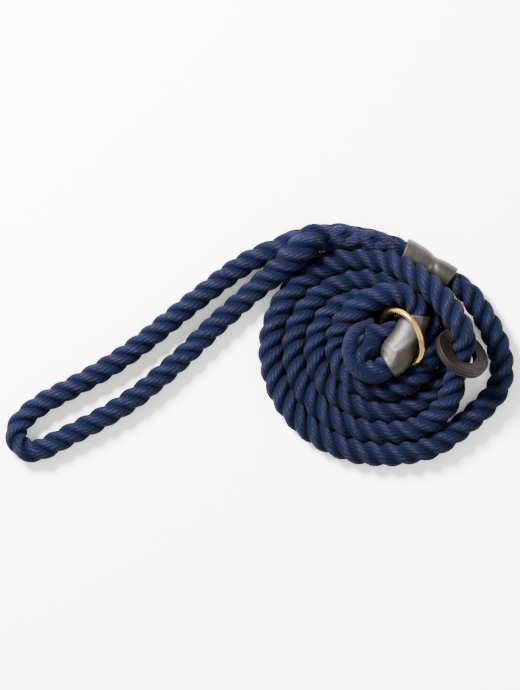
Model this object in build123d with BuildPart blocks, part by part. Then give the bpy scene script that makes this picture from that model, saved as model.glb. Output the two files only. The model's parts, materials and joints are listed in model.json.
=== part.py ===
"""Slip lead: one length of three-strand rope with a spliced hand loop, a sliding leather stopper and
a brass ring in a spliced eye, laid down flat with its noose end wound into a loose coil.

Millimetres, +Z up. The origin is at the middle of the part's outline, on the surface that it lies on.
The rope's route runs from the end of the hand loop, round the loop, through the splice and the sleeve,
four times clockwise round the coil, through the stopper, the ring and the second sleeve, and ends
in the eye that holds the ring.
"""
from build123d import *
from math import cos, floor, hypot, pi, radians, sin, tan
import os

# Rope
ROPE_D = 11.4           # outer size of the plain rope, over its strand crowns
CORE_D = 9.6            # rope inside the hand loop's splice, pulled tight
EYE_CORE_D = 8.8        # rope inside the ring's splice
STRAND_D = 3.6          # one strand, tucked back over a splice
EYE_ROPE_D = 8.4        # rope where it is bent tight round the ring
FLOOR_Z = ROPE_D / 2    # height of the rope's middle where it lies on the ground
CORNER_SHARE = 0.45     # share of the shorter run that a bend takes

# Sleeves that cover the ends of the two splices
SLEEVE_WALL = 1.0
RING_SLEEVE_WALL = 0.7

# Brass ring
RING_MEAN_R = 15.3
RING_WIRE_D = 3.3
RING_CENTRE = Vector(76.1, 2.5, 19.8)
RING_SIDE = Vector(0.45, -0.893, 0)    # the ring's level diameter
RING_TILT = 53                          # how far the ring dips below that diameter, degrees
EYE_ANGLE = 50                          # place of the rope's eye round the ring, degrees

# Leather stopper
STOPPER_R = 15.4
STOPPER_HOLE_R = 7.75
LEATHER = 2.1
STOPPER_CENTRE = Vector(108.1, -6.1, 23.1)
STOPPER_NORMAL = Vector(0.512, 0.599, 0.616)

# The part's outline is centred on the origin by this move
SHIFT = Vector(0.12, 0.6, 0)

# Coil: middle of the rope, measured from the coil's centre at every eighth of a turn, clockwise
# from the right. Each row is one turn, and the turns lie unevenly, as a hand drops them.
COIL_CENTRE = (67.4, 0)
REACH = (
    (63.0, 63.0, 61.0, 63.0, 62.5, 54.5, 44.0, 40.5),
    (46.0, 50.5, 49.5, 51.0, 50.5, 42.5, 32.5, 36.0),
    (37.5, 38.0, 37.5, 39.0, 38.5, 31.0, 21.5, 25.0),
    (25.5, 25.0, 25.5, 27.0, 26.5, 23.5, 25.5, 26.0),
)
# Height of the rope's middle along the coil, as (eighths of a turn, height): it lies on the ground
# and climbs over the turns that it crosses.
CLIMB = (
    (0, FLOOR_Z), (22.3, FLOOR_Z), (23, 7.4), (23.5, 11), (24, 12), (24.5, 12.8), (25, 12.8), (26, 10.2),
    (27, 8), (28, 6.2), (28.5, 10.5), (29, 14.6), (29.5, 17), (30, 18.5),
)
STEP = 0.5              # eighths of a turn from one point of the coil to the next


def reach_at(eighth):
    """Distance of the rope from the coil's centre, eased smoothly between the given eighths."""
    values = [value for turn in REACH for value in turn]
    i = floor(eighth)
    f = eighth - i
    a, b, c, d = (values[min(max(i + k, 0), len(values) - 1)] for k in (-1, 0, 1, 2))
    rise = 2 * a - 5 * b + 4 * c - d
    return 0.5 * (2 * b + (c - a) * f + rise * f**2 + (3 * b - a - 3 * c + d) * f**3)


def height_at(eighth):
    """Height of the rope's middle at this place round the coil."""
    for (start, low), (end, high) in zip(CLIMB, CLIMB[1:]):
        if start <= eighth <= end:
            return low + (high - low) * (eighth - start) / (end - start)
    return CLIMB[-1][1]


def coil_points(first, last):
    """Points of the rope from one eighth of a turn to another, going clockwise."""
    points = []
    for i in range(round((last - first) / STEP) + 1):
        eighth = first + i * STEP
        angle = -radians(45 * eighth)
        reach = reach_at(eighth)
        x = COIL_CENTRE[0] + reach * cos(angle)
        y = COIL_CENTRE[1] + reach * sin(angle)
        points.append((x, y, height_at(eighth)))
    return points


# The hand loop: from the end tucked into the splice, out, round the far end and back
HAND_LOOP = [
    (36, 56.5, 10.5), (30, 56, 14), (25, 52, 15.8), (19.5, 46.5, 14), (12, 40, 9), (2, 31.5, 5.7),
    (-10.5, 20.5, 5.7), (-24.5, 8, 5.7), (-38, -5.5, 5.7), (-53, -19, 5.7), (-68.5, -31.5, 5.7),
    (-85, -41.5, 5.7), (-100, -49, 5.7), (-112, -55.5, 5.7), (-121, -59.5, 5.7), (-128.5, -55.5, 5.7),
    (-131, -48, 5.7), (-125.5, -40, 5.7), (-116.5, -33, 5.7), (-103, -26, 5.7), (-86.5, -17, 5.7),
    (-70, -6.5, 5.7), (-54, 6, 5.7), (-37, 20, 5.7), (-21.5, 32, 5.7), (-6.5, 43, 5.7), (7, 49, 5.7),
]
# Over the throat of the loop, where the rope's strands are tucked back round it
SPLICE = [(21, 53.5, 6.6), (35.5, 56.5, 8.8), (50.5, 56, 9), (64, 53.5, 8.5), (74, 50.5, 7.4)]
# Through the first sleeve and down to the ground
SLEEVE = [(81.5, 47, 6.8), (92.5, 40.5, 6.8), (101.5, 34.5, 6.8), (106.5, 31, 6.7), (112.5, 26, 6)]
# The outermost turn, as far as the coil's regular part
FIRST_TURN = [
    (118, 18, 5.7), (123.5, 8.5, 5.7), (128, -2, 5.7), (130.5, -13.5, 5.7), (128.5, -25, 5.7),
    (121.5, -33.5, 5.7), (113.5, -41, 5.7), (103, -49.5, 5.7),
]
# Up over the first sleeve, down through the stopper and back to the ground
THROUGH_STOPPER = [
    (77.5, 39, 13.5), (86, 33.5, 17.5), (94.5, 26.5, 21), (101, 18.5, 24.5), (106, 10.5, 27.5),
    (111, 2, 29), (105.5, -12.5, 18.5), (104.5, -21, 15.2), (102.5, -29, 13.2), (98.5, -36.5, 10.5),
]
# Across the top of the coil and down through the ring and the second sleeve
THROUGH_RING = [(75.5, 26, 18.7), (81.5, 22, 18.5), (85, 16, 18.4), (83, 7.5, 18.8), (78.5, -1, 19.6)]
# Out of the second sleeve, round the sharp bend and back up to the ring
RING_BEND = [
    (73, -8.5, 20.2), (67.5, -13, 20), (61.5, -14.5, 19), (55.5, -12, 17.8), (52.5, -6.5, 16.8),
    (53, 0, 16), (56.5, 5.5, 14.5), (62, 8.5, 12.5),
]

outer = coil_points(1.5, 6.0)
outer[-2] = (*outer[-2][:2], 6.5)
outer[-1] = (*outer[-1][:2], 9)
inner = coil_points(9.5, 30.0)
inner[0] = (*inner[0][:2], 7)

route = HAND_LOOP + SPLICE + SLEEVE + FIRST_TURN + outer + THROUGH_STOPPER + inner + THROUGH_RING + RING_BEND
route = [Vector(*point) for point in route]

# Where one named length of rope hands over to the next, as counts of route points
AT_SPLICE = len(HAND_LOOP)
AT_SLEEVE = AT_SPLICE + len(SPLICE)
AT_SLEEVE_END = AT_SLEEVE + 3
AT_COIL = AT_SLEEVE + len(SLEEVE) + len(FIRST_TURN)
AT_STOPPER = AT_COIL + len(outer) + 6
AT_INNER = AT_COIL + len(outer) + len(THROUGH_STOPPER)
AT_THIRD = AT_INNER + 14
AT_FOURTH = AT_INNER + 30
AT_RING_SLEEVE = AT_INNER + len(inner) + 3
AT_BEND = AT_INNER + len(inner) + len(THROUGH_RING) + 1
AT_EYE = len(route) - 1


def stretch(first, last):
    """Route points first to last - 1, with both ends at the middle of a run."""
    points = list(route[first:last])
    if first > 0:
        points.insert(0, (route[first - 1] + route[first]) / 2)
    if last < len(route):
        points.append((route[last - 1] + route[last]) / 2)
    return points


def bend_radii(points):
    """One radius for each corner, as large as its two runs allow."""
    radii = []
    for before, at, after in zip(points, points[1:], points[2:]):
        turn = (at - before).get_angle(after - at)
        run = min((at - before).length, (after - at).length)
        radii.append(CORNER_SHARE * run / tan(radians(turn) / 2))
    return radii


def run_radii(first, last):
    """The radii of a stretch, worked out on its full runs, so that the half runs at its ends fit."""
    start = max(first - 1, 0)
    end = min(last + 1, len(route))
    return bend_radii(route[start:end])


def rope_along(label, first, last, diameter, bore=0.0):
    """A plain round length of rope, or a sleeve with a bore, along part of the route."""
    radii = run_radii(first, last)
    print(f"{label}: bend radii {min(radii):.1f} to {max(radii):.1f} mm")
    with BuildPart() as length:
        with BuildLine():
            middle = FilletPolyline(*stretch(first, last), radius=radii)
        with BuildSketch(Plane(middle @ 0, z_dir=middle % 0)):
            Circle(diameter / 2)
            if bore:
                Circle(bore / 2, mode=Mode.SUBTRACT)
        sweep()
    section = pi * (diameter**2 - bore**2) / 4
    print(f"    volume {length.part.volume:.0f}, section times length {section * middle.length:.0f}")
    length.part.label = label
    return length.part


def tube_through(label, points, diameter):
    """A round tube through points of its own, such as a tucked strand."""
    radii = bend_radii(points)
    with BuildPart() as tube:
        with BuildLine():
            middle = FilletPolyline(*points, radius=radii)
        with BuildSketch(Plane(middle @ 0, z_dir=middle % 0)):
            Circle(diameter / 2)
        sweep()
    tube.part.label = label
    return tube.part


def round_the_path(first, last, ends, count, reach, angle_at):
    """Points beside the rope: reach out from its middle, at an angle that changes along it."""
    points = []
    with BuildLine():
        middle = FilletPolyline(*stretch(first, last), radius=run_radii(first, last))
    for i in range(count):
        share = ends[0] + (ends[1] - ends[0]) * i / (count - 1)
        along = middle % share
        side = along.cross(Vector(0, 0, 1)).normalized()
        up = side.cross(along)
        angle = radians(angle_at(i / (count - 1)))
        points.append(middle @ share + side * (reach * cos(angle)) + up * (reach * sin(angle)))
    return points


pieces = []

# The lengths of rope, in the order of the route
pieces.append(rope_along("hand_loop", 0, AT_SPLICE, ROPE_D))
pieces.append(rope_along("handle_splice", AT_SPLICE, AT_SLEEVE, CORE_D))
pieces.append(rope_along("outer_turn", AT_SLEEVE, AT_STOPPER, ROPE_D))
pieces.append(rope_along("second_turn", AT_STOPPER, AT_THIRD, ROPE_D))
pieces.append(rope_along("third_turn", AT_THIRD, AT_FOURTH, ROPE_D))
pieces.append(rope_along("inner_turn", AT_FOURTH, AT_BEND, ROPE_D))
pieces.append(rope_along("ring_splice", AT_BEND, AT_EYE, EYE_CORE_D))

# The two sleeves, each a tight tube over the rope
sleeve_d = ROPE_D + 2 * SLEEVE_WALL
ring_sleeve_d = ROPE_D + 2 * RING_SLEEVE_WALL
pieces.append(rope_along("handle_sleeve", AT_SLEEVE, AT_SLEEVE_END, sleeve_d, ROPE_D))
pieces.append(rope_along("ring_sleeve", AT_RING_SLEEVE, AT_BEND, ring_sleeve_d, ROPE_D))

# The three strands of the loop's end, wound back round the splice against the rope's own lay
HANDLE_REACH = (CORE_D + STRAND_D) / 2 + 0.05
HANDLE_WIND = 200       # degrees that each strand goes round the splice
for number in range(3):
    start_angle = 120 * number + 30
    wound = round_the_path(AT_SPLICE, AT_SLEEVE, (0.36, 0.78), 11, HANDLE_REACH,
                           lambda share: start_angle + HANDLE_WIND * share)
    pieces.append(tube_through(f"handle_strand_{number + 1}", wound, STRAND_D))

# The three strands of the ring's splice, side by side over the outside, top and bottom of the bend
BEND_REACH = (EYE_CORE_D + STRAND_D) / 2 + 0.05
BEND_TURN = 40          # degrees that each strand goes round the bend
for number, start_angle in enumerate((-165, 130, 65)):
    wound = round_the_path(AT_BEND, AT_EYE, (0.1, 0.9), 12, BEND_REACH,
                           lambda share: start_angle + BEND_TURN * share)
    pieces.append(tube_through(f"ring_strand_{number + 1}", wound, STRAND_D))

# The brass ring, tilted, with one side over the second sleeve and the other side under it
ring_down = Vector(
    RING_SIDE.Y * cos(radians(RING_TILT)),
    -RING_SIDE.X * cos(radians(RING_TILT)),
    -sin(radians(RING_TILT)),
)
with BuildPart() as brass_ring:
    with BuildSketch(Plane(RING_CENTRE, x_dir=RING_SIDE.cross(ring_down), z_dir=ring_down)):
        with Locations((0, RING_MEAN_R)):
            Circle(RING_WIRE_D / 2)
    ring_axis = Axis(RING_CENTRE, RING_SIDE.cross(ring_down))
    revolve(axis=ring_axis)
brass_ring.part.label = "brass_ring"
pieces.append(brass_ring.part)

# The eye: the rope bent round the ring's wire, square to it, with its two legs in the splice
eye_turn = radians(EYE_ANGLE)
EYE_POINT = RING_CENTRE + (ring_down * sin(eye_turn) - RING_SIDE * cos(eye_turn)) * RING_MEAN_R
EYE_WIRE = (RING_SIDE * sin(eye_turn) + ring_down * cos(eye_turn)).normalized()
EYE_HALF_GAP = 6.05
EYE_LEG = 8.5
eye_out = Vector(0, 0, 1).cross(EYE_WIRE).normalized() * -1
eye_up = eye_out.cross(EYE_WIRE).normalized()
if eye_up.Z < 0:
    eye_up = eye_up * -1
with BuildPart() as ring_eye:
    with BuildLine() as eye_path:
        upper = EYE_POINT + eye_up * EYE_HALF_GAP
        lower = EYE_POINT - eye_up * EYE_HALF_GAP
        Line(upper + eye_out * EYE_LEG, upper)
        ThreePointArc(upper, EYE_POINT - eye_out * EYE_HALF_GAP, lower)
        Line(lower, lower + eye_out * EYE_LEG)
    with BuildSketch(Plane(eye_path.line @ 0, z_dir=eye_path.line % 0)):
        Circle(EYE_ROPE_D / 2)
    sweep()
ring_eye.part.label = "ring_eye"
pieces.append(ring_eye.part)
print("eye point", EYE_POINT + SHIFT, "wire direction", EYE_WIRE)

# The stopper: two leather washers, one on the other
with BuildPart() as stopper_upper_leather:
    with BuildSketch(Plane(STOPPER_CENTRE, z_dir=STOPPER_NORMAL)):
        Circle(STOPPER_R)
        Circle(STOPPER_HOLE_R, mode=Mode.SUBTRACT)
    extrude(amount=LEATHER)
stopper_upper_leather.part.label = "stopper_upper_leather"
pieces.append(stopper_upper_leather.part)

with BuildPart() as stopper_lower_leather:
    with BuildSketch(Plane(STOPPER_CENTRE, z_dir=STOPPER_NORMAL)):
        Circle(STOPPER_R)
        Circle(STOPPER_HOLE_R, mode=Mode.SUBTRACT)
    extrude(amount=-LEATHER)
stopper_lower_leather.part.label = "stopper_lower_leather"
pieces.append(stopper_lower_leather.part)

os.makedirs("parts", exist_ok=True)
for piece in pieces:
    moved = piece.moved(Location(SHIFT))
    moved.label = piece.label
    export_step(moved, f"parts/{piece.label}.step")

whole = Compound(children=[piece.moved(Location(SHIFT)) for piece in pieces]).bounding_box()
print("outline", whole.min, whole.max)
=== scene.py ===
"""Slip lead: one rope with a spliced hand loop, a leather stopper, two sleeves and a brass ring.

Metres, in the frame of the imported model: +X along the lead, +Z up, lying on the floor at Z = 0.
"""
import bpy
import json
import math
from mathutils import Matrix, Vector, noise


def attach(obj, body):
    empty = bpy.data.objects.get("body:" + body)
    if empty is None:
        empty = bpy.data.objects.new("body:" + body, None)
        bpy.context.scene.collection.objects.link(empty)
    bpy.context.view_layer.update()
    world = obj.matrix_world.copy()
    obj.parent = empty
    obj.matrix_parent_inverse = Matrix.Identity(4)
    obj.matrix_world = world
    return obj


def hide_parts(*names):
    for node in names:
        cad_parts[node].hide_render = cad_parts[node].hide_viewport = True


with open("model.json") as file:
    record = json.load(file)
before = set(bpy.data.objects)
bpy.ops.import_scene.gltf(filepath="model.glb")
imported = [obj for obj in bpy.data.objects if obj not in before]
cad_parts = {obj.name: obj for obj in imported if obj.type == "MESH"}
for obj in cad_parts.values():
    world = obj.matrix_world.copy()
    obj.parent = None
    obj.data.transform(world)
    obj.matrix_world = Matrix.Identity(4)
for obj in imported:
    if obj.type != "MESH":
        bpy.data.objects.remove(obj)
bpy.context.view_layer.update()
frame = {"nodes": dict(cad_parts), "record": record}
UP = Vector((0.0, 0.0, 1.0))
CM = 100.0                  # the lay maps hold centimetres

# ------------------------------------------------------------------ sizes
ROPE_D = 0.0124             # over the crowns of the strands
COIL_ROPE_D = 0.0137        # the same, where the turns press against each other and spread
LAY = 0.0282                # length of one full turn of a strand round the rope
STRANDS = 3
STRAND_OUT = 0.19           # middle of a strand from the rope's middle, as a share of its diameter
STRAND_R = 0.31             # half a strand's thickness, as a share of the rope's diameter
STRAND_SWELL = 0.035        # most that a strand's thickness wanders, as a share of itself
SWELL_RATE = 60             # how quickly it wanders, as steps of the noise to a metre
SWELL_APART = 7.3           # steps of the noise from one strand to the next
STRAND_FACE = 1.15          # round a strand from groove to groove, as a share of the rope's diameter
SIDES_PER_STRAND = 20
MESH_STEP = 0.00095         # from one row of points of the rope's mesh to the next
SPLICE_D = 0.0152           # the rope inside the hand loop's splice
BEND_D = 0.0110             # the rope inside the ring's splice
THROAT_D = 0.0162           # the coil's rope where it swells beside the hand loop's throat
IN_STOPPER_D = 0.0121       # the rope inside the stopper
UNDER_STOPPER_D = 0.0120    # the turn on the floor that passes below the stopper
THICK_LAY = 0.046           # lay of the rope where strands are tucked into it

FLOOR_GAP = 0.0001          # the rope's underside, flattened by its weight, above the floor
FLOOR_Z = 0.0057            # height of the rope's middle where it lies on the floor
SHIFT = Vector((0.00012, 0.0006, 0))    # from the route's own origin to the middle of the outline

# ------------------------------------------------------------------ the rope's route
# The hand loop: from the end tucked into the splice, out, round the far end and back
HAND_LOOP = [
    (0.036, 0.0565, 0.0105), (0.03, 0.056, 0.014), (0.025, 0.052, 0.0158), (0.0195, 0.0465, 0.014),
    (0.012, 0.04, 0.009), (0.002, 0.0315, 0.0057), (-0.0105, 0.0205, 0.0057), (-0.0245, 0.008, 0.0057),
    (-0.038, -0.0055, 0.0057), (-0.053, -0.019, 0.0057), (-0.0685, -0.0315, 0.0057),
    (-0.085, -0.0415, 0.0057), (-0.1, -0.049, 0.0057), (-0.112, -0.0555, 0.0057),
    (-0.121, -0.0595, 0.0057), (-0.1285, -0.0555, 0.0057), (-0.131, -0.048, 0.0057),
    (-0.1255, -0.04, 0.0057), (-0.1165, -0.033, 0.0057), (-0.103, -0.026, 0.0057),
    (-0.0865, -0.017, 0.0057), (-0.07, -0.0065, 0.0057), (-0.054, 0.006, 0.0057), (-0.037, 0.02, 0.0057),
    (-0.0215, 0.032, 0.0057), (-0.0065, 0.043, 0.0057), (0.007, 0.049, 0.0057),
]
# Over the throat of the loop, where the rope's strands are tucked back round it
SPLICE = [
    (0.021, 0.0535, 0.0066), (0.0355, 0.0565, 0.0088), (0.0505, 0.056, 0.009), (0.064, 0.0535, 0.0085),
    (0.074, 0.0505, 0.0074),
]
# Through the first sleeve and down to the ground
SLEEVE = [
    (0.0815, 0.047, 0.0068), (0.0925, 0.0405, 0.0068), (0.1015, 0.0345, 0.0068), (0.1065, 0.031, 0.0067),
    (0.1125, 0.026, 0.006),
]
# The outermost turn, as far as the coil's regular part
FIRST_TURN = [
    (0.118, 0.018, 0.0057), (0.1235, 0.0085, 0.0057), (0.128, -0.002, 0.0057), (0.1305, -0.0135, 0.0057),
    (0.1285, -0.025, 0.0057), (0.1215, -0.0335, 0.0057), (0.1135, -0.041, 0.0057),
    (0.103, -0.0495, 0.0057),
]
# Up over the first sleeve, down through the stopper and back to the ground
THROUGH_STOPPER = [
    (0.0775, 0.039, 0.0135), (0.086, 0.0335, 0.0175), (0.0945, 0.0265, 0.021), (0.101, 0.0185, 0.0245),
    (0.106, 0.0105, 0.0275), (0.111, 0.002, 0.029), (0.1055, -0.0125, 0.0185), (0.1045, -0.021, 0.0152),
    (0.1025, -0.029, 0.0132), (0.0985, -0.0365, 0.0105),
]
# Across the top of the coil and down through the ring and the second sleeve
THROUGH_RING = [
    (0.0755, 0.026, 0.0187), (0.0815, 0.022, 0.0185), (0.085, 0.016, 0.0184), (0.083, 0.0075, 0.0188),
    (0.0785, -0.001, 0.0196),
]
# Out of the second sleeve, round the sharp bend and back up to the ring
RING_BEND = [
    (0.073, -0.0085, 0.0202), (0.0675, -0.013, 0.02), (0.0615, -0.0145, 0.019), (0.0555, -0.012, 0.0178),
    (0.0525, -0.0065, 0.0168), (0.053, 0, 0.016), (0.0565, 0.0055, 0.0145), (0.062, 0.0085, 0.0125),
]
# Middle of the rope from the coil's centre at every eighth of a turn, clockwise from the right,
# one turn to a row. The turns lie unevenly, as a hand drops them.
COIL_CENTRE = (0.0674, 0)
REACH = (
    (0.0630, 0.0630, 0.0610, 0.0630, 0.0625, 0.0545, 0.0440, 0.0405),
    (0.0460, 0.0505, 0.0495, 0.0510, 0.0505, 0.0425, 0.0325, 0.0360),
    (0.0375, 0.0380, 0.0375, 0.0390, 0.0385, 0.0310, 0.0215, 0.0250),
    (0.0255, 0.0250, 0.0255, 0.0270, 0.0265, 0.0235, 0.0255, 0.0260),
)
# Height of the rope's middle along the coil, as (eighths of a turn, height)
CLIMB = (
    (0, FLOOR_Z), (22.3, FLOOR_Z), (23, 0.0074), (23.5, 0.011), (24, 0.012), (24.5, 0.0128), (25, 0.0128),
    (26, 0.0102), (27, 0.008), (28, 0.0062), (28.5, 0.0105), (29, 0.0146), (29.5, 0.017), (30, 0.0185),
)
STEP = 0.5                  # eighths of a turn from one point of the coil to the next
OUTER_TURN = (1.5, 6.0)     # the coil before the stopper, in eighths of a turn
INNER_TURNS = (9.5, 30.0)   # the coil after it
LIFTING = (0.0065, 0.009)   # heights of the last two points before the stopper
LANDING = 0.007             # height of the first point after it


def reach_at(eighth):
    """Distance of the rope from the coil's centre, eased smoothly between the given eighths."""
    values = [value for turn in REACH for value in turn]
    i = math.floor(eighth)
    f = eighth - i
    a, b, c, d = (values[min(max(i + k, 0), len(values) - 1)] for k in (-1, 0, 1, 2))
    rise = 2 * a - 5 * b + 4 * c - d
    return 0.5 * (2 * b + (c - a) * f + rise * f**2 + (3 * b - a - 3 * c + d) * f**3)


def table_at(table, place):
    """A value read off a table of (place, value) pairs, in straight lines between them."""
    for (start, low), (end, high) in zip(table, table[1:]):
        if place <= end:
            share = max(0.0, (place - start) / (end - start))
            return low + (high - low) * share
    return table[-1][1]


def coil_points(first, last):
    """Points of the rope from one eighth of a turn to another, going clockwise."""
    points = []
    for i in range(round((last - first) / STEP) + 1):
        eighth = first + i * STEP
        angle = -math.radians(45 * eighth)
        reach = reach_at(eighth)
        x = COIL_CENTRE[0] + reach * math.cos(angle)
        y = COIL_CENTRE[1] + reach * math.sin(angle)
        points.append((x, y, table_at(CLIMB, eighth)))
    return points


def route_points():
    """The whole route, end to end."""
    outer = coil_points(*OUTER_TURN)
    for i, height in zip((-2, -1), LIFTING):
        outer[i] = (*outer[i][:2], height)
    inner = coil_points(*INNER_TURNS)
    inner[0] = (*inner[0][:2], LANDING)
    points = (HAND_LOOP + SPLICE + SLEEVE + FIRST_TURN + outer + THROUGH_STOPPER + inner
              + THROUGH_RING + RING_BEND)
    return [Vector(point) + SHIFT for point in points]


def spline_points(points):
    """Points along the NURBS curve that has these as its control points."""
    data = bpy.data.curves.new("route", "CURVE")
    data.dimensions = "3D"
    data.resolution_u = 16
    spline = data.splines.new("NURBS")
    spline.points.add(len(points) - 1)
    for point, place in zip(spline.points, points):
        point.co = (*place, 1.0)
    spline.order_u = 3
    spline.use_endpoint_u = True
    holder = bpy.data.objects.new("route", data)
    bpy.context.scene.collection.objects.link(holder)
    mesh = bpy.data.meshes.new_from_object(holder)
    places = [vertex.co.copy() for vertex in mesh.vertices]
    bpy.data.meshes.remove(mesh)
    bpy.data.objects.remove(holder)
    bpy.data.curves.remove(data)
    return places


class Path:
    """A line of points, read by distance along it."""

    def __init__(self, places):
        self.places = places
        self.along = [0.0]
        for a, b in zip(places, places[1:]):
            self.along.append(self.along[-1] + (b - a).length)
        self.length = self.along[-1]

    def at(self, distance):
        """The place at a distance along the line."""
        distance = min(max(distance, 0.0), self.length)
        low, high = 0, len(self.along) - 1
        while high - low > 1:
            middle = (low + high) // 2
            if self.along[middle] <= distance:
                low = middle
            else:
                high = middle
        share = (distance - self.along[low]) / (self.along[high] - self.along[low])
        return self.places[low].lerp(self.places[high], share)

    def direction(self, distance, reach=0.0012):
        """The way that the line runs there."""
        start = max(distance - reach, 0.0)
        end = min(distance + reach, self.length)
        return (self.at(end) - self.at(start)).normalized()

    def nearest(self, place):
        """How far along the line it comes nearest to a place."""
        best = min(range(len(self.places)), key=lambda i: (self.places[i] - place).length)
        return self.along[best]


def carried_frames(path, step):
    """Places along a path with a side and a third direction that turn no more than they must."""
    count = round(path.length / step)
    frames = []
    side = UP.copy()
    for i in range(count + 1):
        distance = path.length * i / count
        along = path.direction(distance)
        side = (side - along * side.dot(along)).normalized()
        frames.append((distance, path.at(distance), side, along.cross(side)))
    return frames


def add_mesh(name, vertices, faces, material):
    """A new, smoothly shaded object from points and faces."""
    mesh = bpy.data.meshes.new(name)
    mesh.from_pydata(vertices, [], faces)
    mesh.materials.append(material)
    mesh.polygons.foreach_set("use_smooth", [True] * len(mesh.polygons))
    mesh.update()
    piece = bpy.data.objects.new(name, mesh)
    bpy.context.scene.collection.objects.link(piece)
    return piece


def ring_faces(rings, sides, closed=False):
    """Faces between rows of points, with both ends capped unless the rows close on themselves."""
    faces = []
    last = rings if closed else rings - 1
    for i in range(last):
        a = i * sides
        b = ((i + 1) % rings) * sides
        for j in range(sides):
            k = (j + 1) % sides
            faces.append((a + j, a + k, b + k, b + j))
    if not closed:
        faces.append(tuple(reversed(range(sides))))
        faces.append(tuple((rings - 1) * sides + j for j in range(sides)))
    return faces


# ------------------------------------------------------------------ materials
class Nodes:
    """Short ways to build a node material."""

    def __init__(self, name):
        self.material = bpy.data.materials.new(name)
        self.material.use_nodes = True
        self.tree = self.material.node_tree
        self.tree.nodes.clear()
        self.shader = self.new("ShaderNodeBsdfPrincipled")
        output = self.new("ShaderNodeOutputMaterial")
        self.link(self.shader.outputs["BSDF"], output.inputs["Surface"])

    def new(self, kind, **settings):
        """A node of this kind, with its settings."""
        node = self.tree.nodes.new(kind)
        for key, value in settings.items():
            setattr(node, key, value)
        return node

    def link(self, output, socket):
        self.tree.links.new(output, socket)

    def feed(self, socket, value):
        """A socket takes a number, a colour or another node's output."""
        if isinstance(value, bpy.types.NodeSocket):
            self.link(value, socket)
        else:
            socket.default_value = value

    def place(self):
        """The surface's own place in the model."""
        return self.new("ShaderNodeTexCoord").outputs["Object"]

    def noise(self, scale, detail, rough=0.55, stretch=None):
        """Noise from 0 to 1."""
        node = self.new("ShaderNodeTexNoise")
        node.inputs["Scale"].default_value = scale
        node.inputs["Detail"].default_value = detail
        node.inputs["Roughness"].default_value = rough
        place = self.place()
        if stretch:
            mapping = self.new("ShaderNodeMapping")
            mapping.inputs["Scale"].default_value = stretch
            self.link(place, mapping.inputs["Vector"])
            place = mapping.outputs["Vector"]
        self.link(place, node.inputs["Vector"])
        return node.outputs["Fac"]

    def math(self, operation, a, b=0.0):
        """One sum, of numbers or of other nodes' outputs."""
        node = self.new("ShaderNodeMath", operation=operation)
        self.feed(node.inputs[0], a)
        self.feed(node.inputs[1], b)
        return node.outputs[0]

    def ramp(self, value, stops):
        """A colour read off a few stops, each (place, colour)."""
        node = self.new("ShaderNodeValToRGB")
        elements = node.color_ramp.elements
        while len(elements) < len(stops):
            elements.new(0.5)
        for element, (place, colour) in zip(elements, stops):
            element.position = place
            element.color = (*colour, 1.0)
        self.feed(node.inputs["Fac"], value)
        return node.outputs["Color"]

    def spread(self, value, low, high, to_low, to_high):
        """A value carried from one range to another, and kept inside it."""
        node = self.new("ShaderNodeMapRange", clamp=True)
        for socket, number in zip(node.inputs[1:5], (low, high, to_low, to_high)):
            socket.default_value = number
        self.feed(node.inputs[0], value)
        return node.outputs[0]

    def mix(self, share, a, b):
        """Two colours, mixed."""
        node = self.new("ShaderNodeMix", data_type="RGBA")
        self.feed(node.inputs[0], share)
        for socket, value in zip(node.inputs[6:8], (a, b)):
            if isinstance(value, tuple):
                value = (*value, 1.0)
            self.feed(socket, value)
        return node.outputs[2]

    def bump(self, height, distance, strength):
        """A relief in the surface, this deep in metres."""
        node = self.new("ShaderNodeBump")
        node.inputs["Strength"].default_value = strength
        node.inputs["Distance"].default_value = distance
        self.feed(node.inputs["Height"], height)
        return node.outputs["Normal"]

    def set(self, **values):
        """Settings of the shader, with _ for a space in a socket's name."""
        for name, value in values.items():
            if isinstance(value, tuple):
                value = (*value, 1.0)
            self.feed(self.shader.inputs[name.replace("_", " ")], value)
        return self.material


YARN_WIDTH = 0.0022         # one yarn of a laid strand, measured across the strand
TUCKED_YARN_WIDTH = 0.0017  # one yarn of a tucked strand


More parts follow.
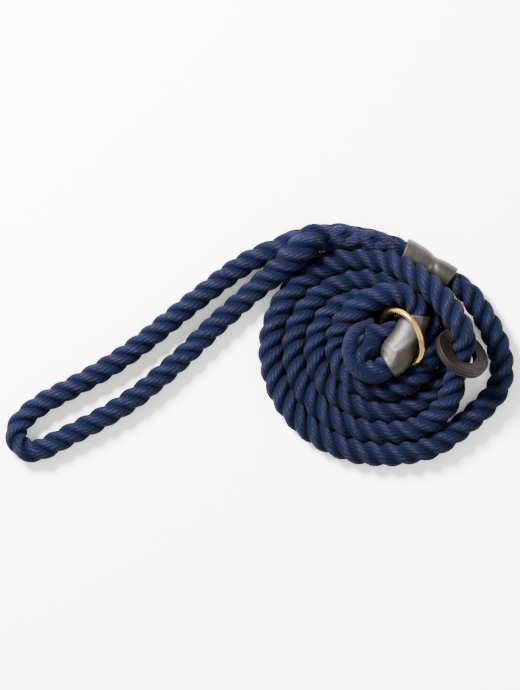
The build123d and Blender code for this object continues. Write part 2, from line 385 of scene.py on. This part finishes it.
def rope_material(name, tilt, half_width, yarn_width):
    """Navy laid rope: yarns side by side in each strand, paler along each yarn's crown from wear and a
    painted highlight, with painted shade between the yarns and in the grooves between strands.

    tilt is how far the yarns slant back against the strand, as rise over run, and half_width is from
    the strand's crown to the groove beside it, in centimetres.
    """
    n = Nodes(name)
    lay = n.new("ShaderNodeUVMap", uv_map="lay").outputs["UV"]
    split = n.new("ShaderNodeSeparateXYZ")
    n.link(lay, split.inputs[0])
    along, across = split.outputs[0], split.outputs[1]
    slant = n.math("ADD", across, n.math("MULTIPLY", along, tilt))
    wobble = n.math("MULTIPLY", n.noise(110.0, 3.0, 0.6), 0.45)
    phase = n.math("MULTIPLY", n.math("ADD", slant, wobble), 2 * math.pi / (yarn_width * CM))
    yarn = n.spread(n.math("SINE", phase), -1.0, 1.0, 0.0, 1.0)
    yarn_round = n.math("POWER", yarn, 0.6)
    fibre = n.noise(900.0, 5.0, 0.75)
    fuzz = n.noise(2600.0, 3.0, 0.7)
    from_crown = n.math("ABSOLUTE", across)
    # Painted shade: the colour darkens toward the groove between two strands, where shade falls
    groove = n.spread(from_crown, half_width * 0.12, half_width * 0.8, 0.0, 1.0)
    patch = n.noise(150.0, 4.0, 0.65)
    base = n.ramp(patch, [(0.32, (0.0016, 0.0029, 0.0085)), (0.5, (0.0029, 0.0053, 0.0142)),
                          (0.68, (0.0059, 0.0080, 0.0198))])
    purple = n.spread(n.noise(240.0, 3.0, 0.6), 0.46, 0.66, 0.0, 0.6)
    tinted = n.mix(purple, base, (0.0093, 0.0045, 0.0157))
    # Paler along each yarn's crown: partly wear, partly a painted highlight where light catches the
    # crowns; worn carries both
    crown_wear_and_highlight = n.math("MULTIPLY", yarn_round, n.spread(fibre, 0.44, 0.64, 0.0, 0.9))
    worn = n.mix(crown_wear_and_highlight, tinted, (0.0189, 0.0196, 0.0335))
    # the painted shade of the grooves between strands, mixed in
    dark = n.mix(n.math("MULTIPLY", groove, 0.95), worn, (0.0012, 0.0021, 0.0080))
    speckled = n.mix(n.spread(fuzz, 0.36, 0.5, 0.55, 0.0), dark, (0.0012, 0.0021, 0.0081))
    # Painted shade in the crevices between the yarns
    shaded = n.mix(n.spread(yarn, 0.0, 0.4, 0.45, 0.0), speckled, (0.0012, 0.0021, 0.0081))
    rough = n.math("ADD", n.math("MULTIPLY", fibre, 1.1), n.math("MULTIPLY", fuzz, 0.7))
    height = n.math("ADD", n.math("MULTIPLY", yarn_round, 0.8), rough)
    return n.set(
        Base_Color=shaded,
        Roughness=n.spread(fibre, 0.3, 0.8, 0.45, 0.7),
        Specular_IOR_Level=0.01,
        Sheen_Weight=0.01,
        Sheen_Roughness=0.5,
        Normal=n.bump(height, 0.0004, 0.8),
    )


def sleeve_material(name, far_shade_amount):
    """Warm grey shrunk plastic, scuffed, with a few brown stains.

    The last argument is how much painted shade darkens and browns the sleeve toward its far end along X,
    0 to 1.
    """
    n = Nodes(name)
    cloud = n.noise(90.0, 4.0, 0.6)
    base = n.ramp(cloud, [(0.3, (0.0067, 0.0055, 0.0046)), (0.55, (0.0117, 0.0097, 0.0082)),
                          (0.8, (0.0193, 0.0160, 0.0137))])
    stain = n.spread(n.noise(150.0, 5.0, 0.7), 0.64, 0.76, 0.0, 0.65)
    box = n.new("ShaderNodeSeparateXYZ")
    n.link(n.new("ShaderNodeTexCoord").outputs["Generated"], box.inputs[0])
    # Painted shade: the sleeve grows darker and browner toward its far end along X
    far = n.spread(box.outputs[0], 0.40, 0.85, 0.0, far_shade_amount)
    far_end_shade = n.mix(far, base, (0.0041, 0.0028, 0.0020))
    stained = n.mix(stain, far_end_shade, (0.0105, 0.0060, 0.0039))
    scuff = n.noise(700.0, 4.0, 0.7)
    height = n.math("ADD", n.noise(260.0, 3.0), n.math("MULTIPLY", scuff, 0.25))
    return n.set(
        Base_Color=stained,
        Roughness=n.spread(scuff, 0.3, 0.7, 0.36, 0.58),
        Specular_IOR_Level=0.2,
        Coat_Weight=0.06,
        Coat_Roughness=0.3,
        Normal=n.bump(height, 0.0004, 0.5),
    )


def leather_material(name, face, edge):
    """Harness leather: a dark, waxed face with a fine grain, and a paler cut edge.

    face and edge are colours. The lay map's v says how far each point is edge, 0 to 1.
    """
    n = Nodes(name)
    lay = n.new("ShaderNodeUVMap", uv_map="lay").outputs["UV"]
    split = n.new("ShaderNodeSeparateXYZ")
    n.link(lay, split.inputs[0])
    rim = n.spread(split.outputs[1], 0.35, 0.65, 0.0, 1.0)
    pores = n.noise(1500.0, 3.0, 0.6)
    grain = n.noise(420.0, 5.0, 0.65)
    blotch = n.noise(110.0, 4.0, 0.6)
    dark = n.mix(n.spread(blotch, 0.35, 0.7, 0.0, 0.7), face, tuple(c * 1.8 for c in face))
    pale = n.mix(n.spread(grain, 0.3, 0.7, 0.0, 0.6), edge, tuple(c * 0.5 for c in edge))
    colour = n.mix(rim, dark, pale)
    height = n.math("ADD", grain, n.math("MULTIPLY", pores, 0.4))
    return n.set(
        Base_Color=colour,
        Roughness=n.spread(grain, 0.3, 0.7, 0.34, 0.6),
        Specular_IOR_Level=0.06,
        Normal=n.bump(height, 0.0003, 0.55),
    )


def brass_material():
    """Worn brass: bright where it rubs, brown in patches."""
    n = Nodes("worn_brass")
    tarnish = n.noise(95.0, 5.0, 0.65)
    base = n.ramp(tarnish, [(0.30, (0.10, 0.045, 0.014)), (0.45, (0.27, 0.155, 0.050)),
                            (0.62, (0.42, 0.275, 0.088)), (0.8, (0.50, 0.355, 0.135))])
    scratch = n.noise(900.0, 3.0, 0.7, stretch=(1.0, 1.0, 4.0))
    return n.set(
        Base_Color=base,
        Metallic=1.0,
        Roughness=n.spread(scratch, 0.3, 0.8, 0.16, 0.36),
        Normal=n.bump(scratch, 0.00003, 0.2),
    )


# ------------------------------------------------------------------ room for the ring
def joint_record(name):
    """What the part's record says of a joint."""
    return next(joint for joint in frame["record"]["behaviour"]["joints"] if joint["name"] == name)


# The ring presses a hollow into whatever soft thing it lies against, over its whole swing
swing = joint_record("ring_swing")
EYE_PLACE = Vector(swing["pos_m"])                  # where the eye holds the ring's wire
EYE_WIRE = Vector(swing["axis"]).normalized()       # the way that the wire runs there
RING_CENTRE = Vector((0.0761, 0.0025, 0.0198)) + SHIFT
RING_FACING = Vector((0.7132, 0.3594, -0.6018)).normalized()     # square to its flat
RING_MEAN_R = 0.0153        # from the ring's centre to the middle of its wire
RING_ROOM = 0.0018          # from the middle of the ring's wire to the hollow's surface
RING_SWINGS = (-3.0, -1.5, 0.0, 1.0, 2.0)           # degrees, from one end of its swing to the other


def ring_swung(degrees):
    """The ring's centre and facing when it has swung by an angle."""
    turn = Matrix.Rotation(math.radians(degrees), 3, EYE_WIRE)
    return EYE_PLACE + turn @ (RING_CENTRE - EYE_PLACE), turn @ RING_FACING


# Gone through twice, because moving out of one place can push a point into another
RING_PLACES = [ring_swung(degrees) for degrees in RING_SWINGS] * 2


def clear_of_ring(point):
    """The point, moved out of the room that the ring's wire needs."""
    if abs((point - RING_CENTRE).length - RING_MEAN_R) > 3 * RING_ROOM:
        return point
    for centre, facing in RING_PLACES:
        off = point - centre
        flat = off - facing * off.dot(facing)
        wire = centre + flat.normalized() * RING_MEAN_R
        gap = point - wire
        if gap.length < RING_ROOM:
            point = wire + gap.normalized() * RING_ROOM
    return point


def rested(point):
    """The point, kept off the ring and just above the floor."""
    point = clear_of_ring(point)
    point.z = max(point.z, FLOOR_GAP)
    return point


# ------------------------------------------------------------------ the rope
def strand_profile(angle):
    """The rope's outline at an angle, as a share of its diameter: three strands side by side."""
    third = 2 * math.pi / STRANDS
    off = (angle + third / 2) % third - third / 2
    inside = STRAND_R**2 - (STRAND_OUT * math.sin(off))**2
    return STRAND_OUT * math.cos(off) + math.sqrt(inside)


def rope_piece(name, path, thickness_at, lay_at, material, step=MESH_STEP, seed=0):
    """A length of three-strand rope, laid right-handed, with its strands in the mesh itself."""
    frames = carried_frames(path, step)
    sides = STRANDS * SIDES_PER_STRAND
    vertices = []
    twist = 0.0
    before = 0.0
    for distance, place, side, third in frames:
        twist += 2 * math.pi * (distance - before) / lay_at(distance)
        before = distance
        thick = thickness_at(distance)
        for j in range(sides):
            angle = 2 * math.pi * (j - SIDES_PER_STRAND / 2) / sides
            share = strand_profile(angle)
            number = j // SIDES_PER_STRAND
            spot = Vector((distance * SWELL_RATE, number * SWELL_APART, seed))
            swell = 1 + STRAND_SWELL * noise.noise(spot)
            reach = thick * share * swell
            out = side * math.cos(angle + twist) + third * math.sin(angle + twist)
            vertices.append(rested(place + out * reach))
    faces = ring_faces(len(frames), sides)
    piece = add_mesh(name, vertices, faces, material)
    mesh = piece.data
    layer = mesh.uv_layers.new(name="lay")
    for polygon in mesh.polygons:
        corners = [mesh.loops[i].vertex_index for i in polygon.loop_indices]
        columns = [c % sides for c in corners]
        number = min(columns) // SIDES_PER_STRAND
        if min(columns) == 0 and max(columns) == sides - 1:
            number = STRANDS - 1
        for i, corner, column in zip(polygon.loop_indices, corners, columns):
            within = column - number * SIDES_PER_STRAND
            if within < 0:
                within += sides
            share = within / SIDES_PER_STRAND - 0.5
            ring = corner // sides
            width = thickness_at(frames[ring][0]) * STRAND_FACE
            layer.data[i].uv = (frames[ring][0] * CM, share * width * CM)
    return piece


route = Path(spline_points(route_points()))
SPLICE_START = route.nearest(Vector((0.0135, 0.0525, 0.008)))
SPLICE_END = route.nearest(Vector((0.0735, 0.0507, 0.0074)))
BEND_START = route.nearest(Vector((0.0698, -0.0114, 0.0188)))
BESIDE_THROAT = route.nearest(Vector((0.0345, 0.0405, 0.0059)))     # the coil's turn beside the tucks
IN_STOPPER = route.nearest(Vector((0.1074, -0.0070, 0.0227)))
UNDER_STOPPER = route.nearest(Vector((0.1037, 0.0052, 0.0057)))

# The rope's drawn diameter and the length of its lay, as (distance along the route, value). It starts
# with the swelling of the tucked end.
THICKNESS = (
    (0.0, 0.0110), (0.004, 0.0150), (0.010, 0.0170), (0.018, 0.0160), (0.030, 0.0148), (0.052, ROPE_D),
    (SPLICE_START - 0.012, ROPE_D), (SPLICE_START + 0.006, SPLICE_D * 0.95),
    (SPLICE_START + 0.03, SPLICE_D), (SPLICE_END - 0.025, SPLICE_D * 0.88),
    (SPLICE_END, ROPE_D * 0.95), (SPLICE_END + 0.006, ROPE_D * 0.78),
    (SPLICE_END + 0.030, ROPE_D * 0.78), (SPLICE_END + 0.042, ROPE_D), (SPLICE_END + 0.07, COIL_ROPE_D),
    (BESIDE_THROAT - 0.018, COIL_ROPE_D), (BESIDE_THROAT - 0.006, THROAT_D),
    (BESIDE_THROAT + 0.006, THROAT_D), (BESIDE_THROAT + 0.018, COIL_ROPE_D),
    (IN_STOPPER - 0.020, COIL_ROPE_D), (IN_STOPPER - 0.010, IN_STOPPER_D),
    (IN_STOPPER + 0.012, IN_STOPPER_D), (IN_STOPPER + 0.022, COIL_ROPE_D),
    (UNDER_STOPPER - 0.018, COIL_ROPE_D), (UNDER_STOPPER - 0.006, UNDER_STOPPER_D),
    (UNDER_STOPPER + 0.006, UNDER_STOPPER_D), (UNDER_STOPPER + 0.018, COIL_ROPE_D),
    (BEND_START - 0.06, COIL_ROPE_D), (BEND_START - 0.035, ROPE_D), (BEND_START - 0.02, ROPE_D * 0.95),
    (BEND_START, ROPE_D * 0.98), (BEND_START + 0.006, BEND_D),
    (route.length - 0.006, BEND_D * 0.9), (route.length, BEND_D * 0.7),
)
LAYS = (
    (0.0, LAY), (SPLICE_START - 0.02, LAY), (SPLICE_START + 0.01, THICK_LAY),
    (SPLICE_END - 0.01, THICK_LAY), (SPLICE_END + 0.01, LAY), (route.length, LAY),
)

LAID_TILT = 1.4             # slant of the yarns in a laid strand, rise over run
LAID_HALF = 0.62            # from a laid strand's crown to its groove, centimetres
TUCKED_TILT = 0.8
TUCKED_HALF = 0.75
navy = rope_material("navy_rope", LAID_TILT, LAID_HALF, YARN_WIDTH)
navy_tucked = rope_material("navy_tucked", TUCKED_TILT, TUCKED_HALF, TUCKED_YARN_WIDTH)
rope = rope_piece("rope", route, lambda d: table_at(THICKNESS, d), lambda d: table_at(LAYS, d), navy)
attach(rope, "root")
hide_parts("hand_loop", "handle_splice", "outer_turn", "second_turn", "third_turn", "inner_turn",
            "ring_splice")


STRAND_GIRTH = 0.8 * math.pi    # round a flattened strand, as a share of its width


def strand_piece(name, middles, outs, widths, thicks, material, sides=22):
    """A flattened strand through points, each with the way that its flat side faces."""
    vertices = []
    travelled = [0.0]
    for a, b in zip(middles, middles[1:]):
        travelled.append(travelled[-1] + (b - a).length)
    last = len(middles) - 1
    for i, middle in enumerate(middles):
        along = (middles[min(i + 1, last)] - middles[max(i - 1, 0)]).normalized()
        out = (outs[i] - along * outs[i].dot(along)).normalized()
        side = along.cross(out)
        for j in range(sides):
            angle = 2 * math.pi * j / sides
            across = side * (math.cos(angle) * widths[i] / 2)
            vertices.append(rested(middle + across + out * (math.sin(angle) * thicks[i] / 2)))
    piece = add_mesh(name, vertices, ring_faces(len(middles), sides), material)
    layer = piece.data.uv_layers.new(name="lay")
    for polygon in piece.data.polygons:
        columns = [piece.data.loops[i].vertex_index % sides for i in polygon.loop_indices]
        wraps = max(columns) - min(columns) > sides / 2
        for i in polygon.loop_indices:
            index = piece.data.loops[i].vertex_index
            column = index % sides
            if wraps and column == 0:
                column = sides
            # v is 0 along the top of the strand, and grows round both of its sides
            across = (column / sides - 0.25) * STRAND_GIRTH * widths[index // sides]
            layer.data[i].uv = (travelled[index // sides] * CM, across * CM)
    return piece


def tapered(i, count, ends):
    """1 along a strand's middle, falling to a rounded point over this many steps at each end."""
    near = min(i, count - 1 - i)
    if near >= ends:
        return 1.0
    share = (near + 0.15) / (ends + 0.15)
    return math.sqrt(1 - (1 - share) ** 2)


# ------------------------------------------------------------------ the hand loop's splice
# Three strands wound back against the lay, each over one strand of the rope and under the next
TUCK_STEPS = 96
TUCK_OUT = 0.0052           # middle of a tucked strand from the rope's middle
TUCK_WAVE = 0.0003          # how far it rises and dips as it goes over and under
TUCK_WAVES = STRANDS / 2    # rises to one turn against the rope's strands, over one and under the next
TUCK_WIDTH = 0.0066
TUCK_THICK = 0.0038
TUCK_START = 1.0            # how far round the rope the first one starts, radians from the top
TUCK_TAPER = 5              # steps at each end that narrow to a point
TUCK_SLIM = ((0, 1.0), (0.6, 0.95), (0.85, 0.78), (1, 0.66))    # size by share of the splice

for number in range(STRANDS):
    middles, outs, widths, thicks = [], [], [], []
    start = SPLICE_START + 0.002
    end = SPLICE_END + 0.003
    for i in range(TUCK_STEPS):
        share = i / (TUCK_STEPS - 1)
        distance = start + (end - start) * share
        along = route.direction(distance)
        side = (UP - along * along.z).normalized()
        third = along.cross(side)
        lobe = 2 * math.pi * (distance - start) / THICK_LAY
        turn = -lobe + 2 * math.pi * number / STRANDS + TUCK_START
        wave = math.cos(TUCK_WAVES * (turn - lobe))
        slim = table_at(TUCK_SLIM, share)
        out = side * math.cos(turn) + third * math.sin(turn)
        middles.append(route.at(distance) + out * ((TUCK_OUT + TUCK_WAVE * wave) * slim))
        outs.append(out)
        size = tapered(i, TUCK_STEPS, TUCK_TAPER) * slim
        widths.append(TUCK_WIDTH * size)
        thicks.append(TUCK_THICK * size)
    tuck = strand_piece(f"tucked_strand_{number + 1}", middles, outs, widths, thicks, navy_tucked)
    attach(tuck, "root")
    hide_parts(f"handle_strand_{number + 1}")

# ------------------------------------------------------------------ the ring's splice
# Thick strands side by side round the bend, as far as its end. Each has its start as a share of the
# bend, its way out as an angle from level outward to up, its distance out, its width and its thickness.
BEND_STRANDS = (
    (0.0, 10, 0.0036, 0.0095, 0.0100),
    (0.26, 162, 0.0071, 0.0122, 0.0108),
    (0.0, -75, 0.0036, 0.0090, 0.0070),
)
BEND_STEPS = 70
BEND_TAPER = 4              # steps at each end that narrow to a point
BEND_TURN = 35              # degrees that a strand winds round the rope over the bend
BEND_SIZE = ((0, 0.72), (0.25, 1.0), (0.7, 1.0), (1, 0.62))     # size by share of the bend
for number, (first, angle, reach, width, thick) in enumerate(BEND_STRANDS):
    middles, outs, widths, thicks = [], [], [], []
    for i in range(BEND_STEPS):
        share = first + (1 - first) * i / (BEND_STEPS - 1)
        distance = BEND_START - 0.001 + (route.length - BEND_START + 0.002) * share
        along = route.direction(distance, 0.003)
        # the bend turns clockwise seen from above, so its outside is on the left of its travel
        outward = UP.cross(along).normalized()
        up = along.cross(outward)
        turn = math.radians(angle + BEND_TURN * (share - 0.5))
        out = outward * math.cos(turn) + up * math.sin(turn)
        size = table_at(BEND_SIZE, share)
        middles.append(route.at(distance) + out * (reach * size))
        outs.append(out)
        widths.append(width * size * tapered(i, BEND_STEPS, BEND_TAPER))
        thicks.append(thick * size * tapered(i, BEND_STEPS, BEND_TAPER))
    bend = strand_piece(f"bend_strand_{number + 1}", middles, outs, widths, thicks, navy_tucked)
    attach(bend, "root")
    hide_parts(f"ring_strand_{number + 1}")

# ------------------------------------------------------------------ the eye round the ring
EYE_HALF_GAP = 0.0067       # from the ring's wire to the middle of the rope that goes round it
EYE_LEG = 0.0085            # length of the eye's two straight legs
EYE_LEG_STEPS = 6
EYE_TURN_STEPS = 18
EYE_D = 0.0104
EYE_LAY = 0.030
EYE_MESH_STEP = 0.0006
level = EYE_WIRE.cross(UP).normalized()
rise = level.cross(EYE_WIRE).normalized()
eye_line = [EYE_PLACE + rise * EYE_HALF_GAP + level * EYE_LEG * (1 - k / EYE_LEG_STEPS)
            for k in range(EYE_LEG_STEPS)]
for k in range(EYE_TURN_STEPS + 1):
    angle = math.pi * k / EYE_TURN_STEPS
    up_part = rise * (EYE_HALF_GAP * math.cos(angle))
    eye_line.append(EYE_PLACE + up_part - level * (EYE_HALF_GAP * math.sin(angle)))
eye_line += [EYE_PLACE - rise * EYE_HALF_GAP + level * EYE_LEG * (k + 1) / EYE_LEG_STEPS
             for k in range(EYE_LEG_STEPS)]
eye = rope_piece("eye", Path(eye_line), lambda d: EYE_D, lambda d: EYE_LAY, navy, step=EYE_MESH_STEP,
                 seed=3)
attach(eye, "root")
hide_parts("ring_eye")


# ------------------------------------------------------------------ the two sleeves
def sleeve_piece(name, start, end, reach_of, material, rings=90, sides=72, wall=0.0007):
    """A tube round the rope. reach_of gives its outer radius from a share of its length and an angle.

    The angle is 0 on the left of the rope's travel, seen from above, and 90 degrees on top.
    """
    outer, inner = [], []
    for i in range(rings):
        share = i / (rings - 1)
        distance = start + (end - start) * share
        along = route.direction(distance, 0.003)
        left = UP.cross(along).normalized()
        up = along.cross(left)
        middle = route.at(distance)
        lip = 0.0003 if i in (0, rings - 1) else 0.0
        for j in range(sides):
            angle = 2 * math.pi * j / sides
            out = left * math.cos(angle) + up * math.sin(angle)
            reach = reach_of(share, math.degrees(angle)) - lip
            outer.append(rested(middle + out * reach))
            inner.append(rested(middle + out * (reach - wall + lip)))
    vertices = outer
    for i in reversed(range(rings)):
        vertices = vertices + inner[i * sides:(i + 1) * sides]
    return add_mesh(name, vertices, ring_faces(rings * 2, sides, closed=True), material)


def bell(value, middle, spread):
    """A smooth bump of height 1."""
    return math.exp(-((value - middle) / spread) ** 2)


def around(angle, middle):
    """The shorter way round from one angle to another, in degrees."""
    return abs((angle - middle + 180) % 360 - 180)


def handle_sleeve_reach(share, angle):
    """Swollen over the end of the splice, pinched in the middle, with creases running from the pinch."""
    reach = table_at(((0, 0.0070), (0.12, 0.0071), (0.35, 0.0068), (0.52, 0.0060), (0.62, 0.0060),
                      (0.8, 0.0066), (1, 0.0069)), share)
    outside = around(angle, 20)
    inside = around(angle, 150)
    reach -= 0.0006 * bell(share, 0.55, 0.10) * bell(outside, 0, 70)
    for shift, lean, deep in ((-0.04, 0.0020, 0.0002), (0.12, -0.0036, 0.0003)):
        crease = share - (0.55 + shift + lean * (inside - 40) * 0.5)
        reach -= deep * bell(crease, 0, 0.045) * bell(inside, 30, 70)
        reach += 0.00012 * bell(crease, 0.08, 0.05) * bell(inside, 30, 60)
    return reach


def ring_sleeve_reach(share, angle):
    """Flat facets that meet in a ridge along the top, which wanders from side to side."""
    ridge = table_at(((0, 70), (0.35, 63), (0.75, 98), (0.93, 73), (1, 70)), share)
    off = around(angle, ridge)
    reach = 0.0071 + 0.0006 * bell(off, 0, 16)
    reach -= 0.0006 * bell(around(angle, ridge - 52), 0, 34)
    reach -= 0.0004 * bell(around(angle, ridge + 60), 0, 38)
    reach += 0.0004 * bell(share, 0.02, 0.05)
    reach += 0.0018 * bell(around(angle, 0), 0, 50) * bell(share, 0.85, 0.3)
    wide = table_at(((0, 0.0020), (0.4, 0.0023), (0.72, 0.0034), (0.88, 0.0022), (1, 0.0)), share)
    reach += wide * bell(around(angle, 180), 0, 50)
    return reach


SLEEVE_LOW = route.nearest(Vector((0.0772, 0.0490, 0.0070)))
SLEEVE_HIGH = route.nearest(Vector((0.1026, 0.0336, 0.0067)))
handle_sleeve = sleeve_piece("splice_sleeve", SLEEVE_LOW, SLEEVE_HIGH, handle_sleeve_reach,
                             sleeve_material("grey_splice_sleeve", 0.9))
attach(handle_sleeve, "root")
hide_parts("handle_sleeve")

RING_LOW = route.nearest(Vector((0.0845, 0.0145, 0.019)))
RING_HIGH = route.nearest(Vector((0.0692, -0.0118, 0.0189)))
ring_sleeve = sleeve_piece("eye_sleeve", RING_LOW, RING_HIGH, ring_sleeve_reach,
                           sleeve_material("grey_eye_sleeve", 0.0))
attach(ring_sleeve, "root")
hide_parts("ring_sleeve")

# ------------------------------------------------------------------ the leather stopper
STOPPER_PLACE = Vector(joint_record("stopper_slide")["pos_m"])
STOPPER_FACING = Vector((0.512, 0.599, 0.616)).normalized()
STOPPER_R = 0.0154
STOPPER_HOLE = 0.00775      # radius of the hole
LEATHER = 0.0021            # thickness of one washer
SEAM = 0.00003              # from the middle of the stopper to each washer
CORNER = 0.0005             # radius of a worn corner
CORNER_STEPS = 6
FACE_STEPS = 34
RIPPLE = 0.00012            # how far the leather wanders from its true outline


def washer(name, profile, material, sides=128):
    """A turned piece about the stopper's axis, from (radius, height, how far it is edge) points."""
    across = STOPPER_FACING.cross(UP).normalized()
    third = STOPPER_FACING.cross(across)
    vertices = []
    for radius, height, _ in profile:
        for j in range(sides):
            angle = 2 * math.pi * j / sides
            spot = Vector((math.cos(angle) * 3, math.sin(angle) * 3, radius * 400))
            ripple = RIPPLE * noise.noise(spot)
            out = across * math.cos(angle) + third * math.sin(angle)
            place = STOPPER_PLACE + out * (radius + ripple)
            vertices.append(place + STOPPER_FACING * (height + ripple * 0.6))
    piece = add_mesh(name, vertices, ring_faces(len(profile), sides, closed=True), material)
    layer = piece.data.uv_layers.new(name="lay")
    for polygon in piece.data.polygons:
        for i in polygon.loop_indices:
            index = piece.data.loops[i].vertex_index
            layer.data[i].uv = ((index % sides) / sides, profile[index // sides][2])
    return piece


def leather_profile(low, high, grooves):
    """The outline of one washer, with worn corners and shallow grooves pressed round its face."""
    outline = []
    for k in range(CORNER_STEPS + 1):
        angle = math.pi / 2 * k / CORNER_STEPS
        outline.append((STOPPER_R - CORNER + CORNER * math.sin(angle),
                        high - CORNER + CORNER * math.cos(angle), min(1.0, k / 3)))
    outline.append((STOPPER_R + 0.0001, (high + low) / 2, 1.0))
    for k in range(CORNER_STEPS + 1):
        angle = math.pi / 2 * k / CORNER_STEPS
        outline.append((STOPPER_R - CORNER + CORNER * math.cos(angle),
                        low + CORNER - CORNER * math.sin(angle), 1 - k / CORNER_STEPS))
    outline.append((STOPPER_HOLE + CORNER, low, 0.0))
    outline.append((STOPPER_HOLE, low + CORNER, 0.4))
    outline.append((STOPPER_HOLE, high - CORNER, 0.4))
    face_start = STOPPER_HOLE + 0.0002
    outline.append((face_start, high - 0.0001, 0.3))
    for k in range(1, FACE_STEPS):
        radius = face_start + (STOPPER_R - CORNER - face_start) * k / FACE_STEPS
        height = high
        for place, depth, wide in grooves:
            height -= depth * bell(radius, place, wide)
        outline.append((radius, height, 0.0))
    return outline


UPPER_GROOVES = ((0.0093, 0.00028, 0.0004), (0.0137, 0.00018, 0.0003))      # (radius, depth, width)
face_leather = leather_material("leather_face", (0.0026, 0.0019, 0.0015), (0.0078, 0.0054, 0.0038))
back_leather = leather_material("leather_back", (0.0022, 0.0017, 0.0014), (0.0055, 0.0040, 0.0031))
upper = washer("upper_washer", leather_profile(SEAM, LEATHER, UPPER_GROOVES), face_leather)
lower = washer("lower_washer", leather_profile(-LEATHER, -SEAM, ()), back_leather)
for washer_piece, node in ((upper, "stopper_upper_leather"), (lower, "stopper_lower_leather")):
    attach(washer_piece, "stopper")
    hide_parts(node)

# ------------------------------------------------------------------ the brass ring
ring_object = frame["nodes"]["brass_ring"]
ring_object.data.materials.clear()
ring_object.data.materials.append(brass_material())

# ------------------------------------------------------------------ floor, light and camera
FLOOR_HALF = 4.0            # half the side of the floor's square
floor_data = bpy.data.meshes.new("floor")
corners = [(FLOOR_HALF * x, FLOOR_HALF * y, 0) for x, y in ((-1, -1), (1, -1), (1, 1), (-1, 1))]
floor_data.from_pydata(corners, [], [(0, 1, 2, 3)])
floor = bpy.data.objects.new("floor", floor_data)
bpy.context.scene.collection.objects.link(floor)
floor_nodes = Nodes("floor")
floor_nodes.set(Base_Color=(0.97, 0.97, 0.97), Roughness=0.9, Specular_IOR_Level=0.1)
floor_data.materials.append(floor_nodes.material)


def area_light(name, place, size, power):
    """A square lamp that shines on the middle of the lead."""
    data = bpy.data.lights.new(name, "AREA")
    data.size = size
    data.energy = power
    light = bpy.data.objects.new(name, data)
    light.location = place
    light.rotation_euler = (-Vector(place)).to_track_quat("-Z", "Y").to_euler()
    bpy.context.scene.collection.objects.link(light)


area_light("key", (-0.63, 0.7, 0.84), 0.35, 170)
area_light("fill", (0.9, -0.5, 1.2), 1.2, 9)
world = bpy.data.worlds.new("studio")
world.use_nodes = True
world.node_tree.nodes["Background"].inputs["Color"].default_value = (1, 1, 1, 1)
world.node_tree.nodes["Background"].inputs["Strength"].default_value = 2.0
bpy.context.scene.world = world

VIEW_HEIGHT = 4.0
FRAME_WIDTH = 0.2781        # what the picture takes in from side to side
FRAME_RATIO = 690 / 520
WIDTH_HEIGHT = 0.006        # height above the floor at which it takes in that width
SENSOR = 36.0               # millimetres
camera_data = bpy.data.cameras.new("camera")
camera_data.sensor_width = SENSOR
camera_data.lens = SENSOR * (VIEW_HEIGHT - WIDTH_HEIGHT) / (FRAME_WIDTH * FRAME_RATIO)
camera = bpy.data.objects.new("camera", camera_data)
camera.location = (0.00072, -0.00105, VIEW_HEIGHT)
bpy.context.scene.collection.objects.link(camera)
bpy.context.scene.camera = camera
